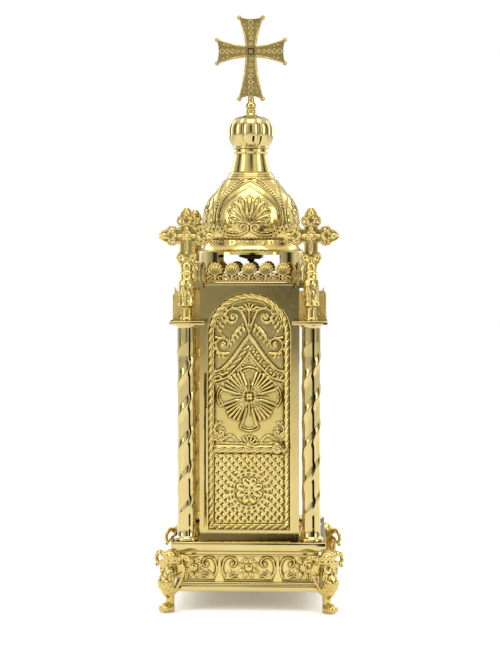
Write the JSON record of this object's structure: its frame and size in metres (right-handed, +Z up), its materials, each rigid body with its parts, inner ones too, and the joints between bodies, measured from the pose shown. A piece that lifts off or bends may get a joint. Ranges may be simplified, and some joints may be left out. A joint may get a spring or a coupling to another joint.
{
  "type": "altar tabernacle",
  "caption": "Domed altar tabernacle in gilt brass: arched relief door, twisted corner columns, cherub feet, corner crosses and a flared cross on top.",
  "frame": {"origin": "ground level, on the vertical axis through the dome and the top cross", "axes": "+Z up along that axis, the door faces -Y, +X to the right of a viewer who faces the door"},
  "size_m": [0.1848, 0.1848, 0.5797],
  "materials": {
    "polished_gilt": "polished gold-plated brass sheet and turnings",
    "embossed_gilt": "embossed sheet, gold-plated, bright on the relief and darker in the hollows",
    "cast_gilt": "cast ornament, gold-plated, less even than the sheet",
    "stippled_gilt": "matt stippled sheet, gold-plated",
    "dark_steel": "blackened steel bar and bolt"
  },
  "bodies": {
    "tabernacle": {"base_bottom_slab": "polished_gilt", "base_lower_moulding": "polished_gilt", "base_cove_moulding": "polished_gilt", "base_top_slab": "polished_gilt", "capital_plate": "polished_gilt", "cabinet_front": "polished_gilt", "cabinet_left": "polished_gilt", "cabinet_right": "polished_gilt", "cabinet_rear": "polished_gilt", "cabinet_top": "polished_gilt", "hinge_cabinet_leaf": "polished_gilt", "cornice_tray": "polished_gilt", "lantern_drum": "polished_gilt", "dome_skirt": "polished_gilt", "bulb": "polished_gilt", "cross_stem": "polished_gilt", "column_front_left": "polished_gilt", "column_front_right": "polished_gilt", "column_rear_right": "polished_gilt", "column_rear_left": "polished_gilt", "foot_front_left": "cast_gilt", "foot_front_right": "cast_gilt", "foot_rear_right": "cast_gilt", "foot_rear_left": "cast_gilt", "finial_front_left": "cast_gilt", "finial_front_right": "cast_gilt", "finial_rear_right": "cast_gilt", "finial_rear_left": "cast_gilt", "base_frieze_front": "embossed_gilt", "base_frieze_rear": "embossed_gilt", "base_frieze_left": "embossed_gilt", "base_frieze_right": "embossed_gilt", "dome_shell": "embossed_gilt", "top_cross": "cast_gilt", "cresting_front": "cast_gilt", "cresting_right": "cast_gilt", "cresting_rear": "cast_gilt", "cresting_left": "cast_gilt", "cresting_corner_front_left": "cast_gilt", "cresting_corner_front_right": "cast_gilt", "cresting_corner_rear_right": "cast_gilt", "cresting_corner_rear_left": "cast_gilt", "parapet_left_front": "stippled_gilt", "parapet_left_side": "stippled_gilt", "parapet_left_rear": "stippled_gilt", "parapet_right_front": "stippled_gilt", "parapet_right_side": "stippled_gilt", "parapet_right_rear": "stippled_gilt", "dome_clamp_bar": "dark_steel", "dome_tie_bolt": "dark_steel"},
    "door": {"door_panel": "embossed_gilt", "door_knob": "polished_gilt", "door_hinge_leaf": "polished_gilt"}
  },
  "joints": [
    {"name": "door_hinge", "type": "hinge", "parent": "tabernacle", "child": "door", "pos_m": [-0.04295, -0.054, 0.1515], "axis": [0, 0, -1], "range_deg": [0, 90]}
  ]
}
